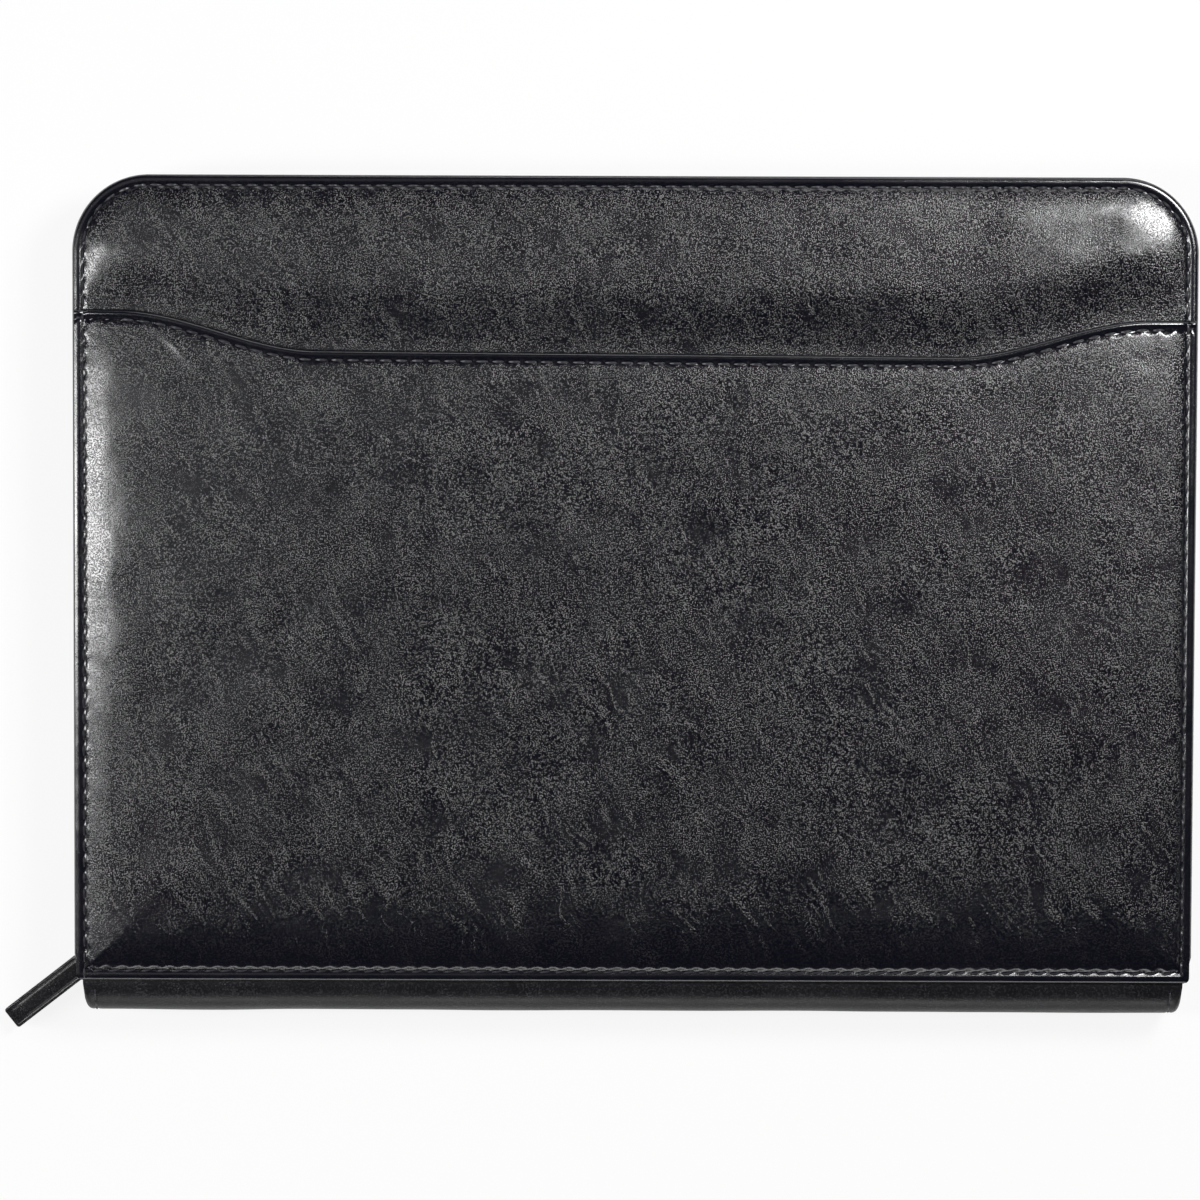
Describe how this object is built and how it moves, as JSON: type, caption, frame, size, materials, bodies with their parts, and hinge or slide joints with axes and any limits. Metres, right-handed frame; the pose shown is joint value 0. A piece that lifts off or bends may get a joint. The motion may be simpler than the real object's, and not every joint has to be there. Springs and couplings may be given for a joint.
{
  "type": "zippered padfolio",
  "caption": "Leather zip-round padfolio with a slash pocket on its front, a folding spine, a zip with a pull tab, and a writing pad and pockets inside.",
  "frame": {"origin": "centre of the back cover's flat outer face, midway along the spine and midway from spine to zip edge", "axes": "+X along the spine, +Y from the spine towards the zip edge, +Z from the back cover to the front cover"},
  "size_m": [0.3668, 0.2644, 0.027],
  "materials": {
    "bonded_leather": "glossy grained bonded leather",
    "smooth_leather": "satin smooth leather",
    "lining_cloth": "woven nylon",
    "zip_tape": "woven zip tape",
    "zip_teeth": "moulded acetal",
    "gunmetal": "black nickel plate on zinc",
    "grey_board": "grey chipboard",
    "paper": "uncoated ruled paper",
    "foam": "polyester padding",
    "elastic": "woven elastic"
  },
  "bodies": {
    "front_cover": {"front_skin": "bonded_leather", "pocket_panel": "bonded_leather", "pocket_mouth_hem": "bonded_leather", "front_hinge_flange": "smooth_leather", "front_foam": "foam", "front_board": "grey_board", "front_lining": "lining_cloth", "front_zip_tape": "zip_tape", "front_zip_teeth": "zip_teeth", "front_zip_stops": "gunmetal", "front_tape_end_tabs": "smooth_leather", "document_pocket": "lining_cloth", "card_pocket_1": "bonded_leather", "card_pocket_2": "bonded_leather", "card_pocket_3": "bonded_leather"},
    "spine": {"spine_strip": "smooth_leather", "spine_stiffener": "grey_board", "spine_lining": "lining_cloth", "pen_loop": "elastic"},
    "back_cover": {"back_skin": "bonded_leather", "back_hinge_flange": "smooth_leather", "back_foam": "foam", "back_board": "grey_board", "back_lining": "lining_cloth", "back_zip_tape": "zip_tape", "back_zip_teeth": "zip_teeth", "back_zip_stops": "gunmetal", "back_tape_end_tabs": "smooth_leather", "pad_backing": "grey_board", "pad_sleeve": "lining_cloth", "paper_block": "paper", "pad_binding": "grey_board"},
    "zip_slider": {"slider_body": "gunmetal", "slider_bail": "gunmetal"},
    "pull_loop": {"pull_loop": "gunmetal"},
    "pull_tab": {"pull_tab_upper": "bonded_leather", "pull_tab_lower": "bonded_leather", "pull_tab_eyelet": "gunmetal"}
  },
  "joints": [
    {"name": "back_fold", "type": "hinge", "parent": "back_cover", "child": "spine", "pos_m": [0, -0.12512, 0.00509], "axis": [1, 0, 0], "range_deg": [0, 90]},
    {"name": "front_fold", "type": "hinge", "parent": "spine", "child": "front_cover", "pos_m": [0, -0.12512, 0.02192], "axis": [1, 0, 0], "range_deg": [0, 90]},
    {"name": "slider_run", "type": "slide", "parent": "back_cover", "child": "zip_slider", "axis": [0, 1, 0], "range_m": [0, 0.205], "deforming": ["back_zip_teeth", "front_zip_teeth"]},
    {"name": "pull_swing", "type": "hinge", "parent": "zip_slider", "child": "pull_loop", "pos_m": [-0.163, -0.1103, 0.0127], "axis": [0, 0, 1], "range_deg": [-81, 3.5]},
    {"name": "tab_lift", "type": "hinge", "parent": "pull_loop", "child": "pull_tab", "pos_m": [-0.16848, -0.11466, 0.0127], "axis": [-0.6225, 0.7826, 0], "range_deg": [0, 34]}
  ],
  "couplings": [
    {"joint": "front_fold", "follows": "back_fold", "ratio": 1}
  ]
}
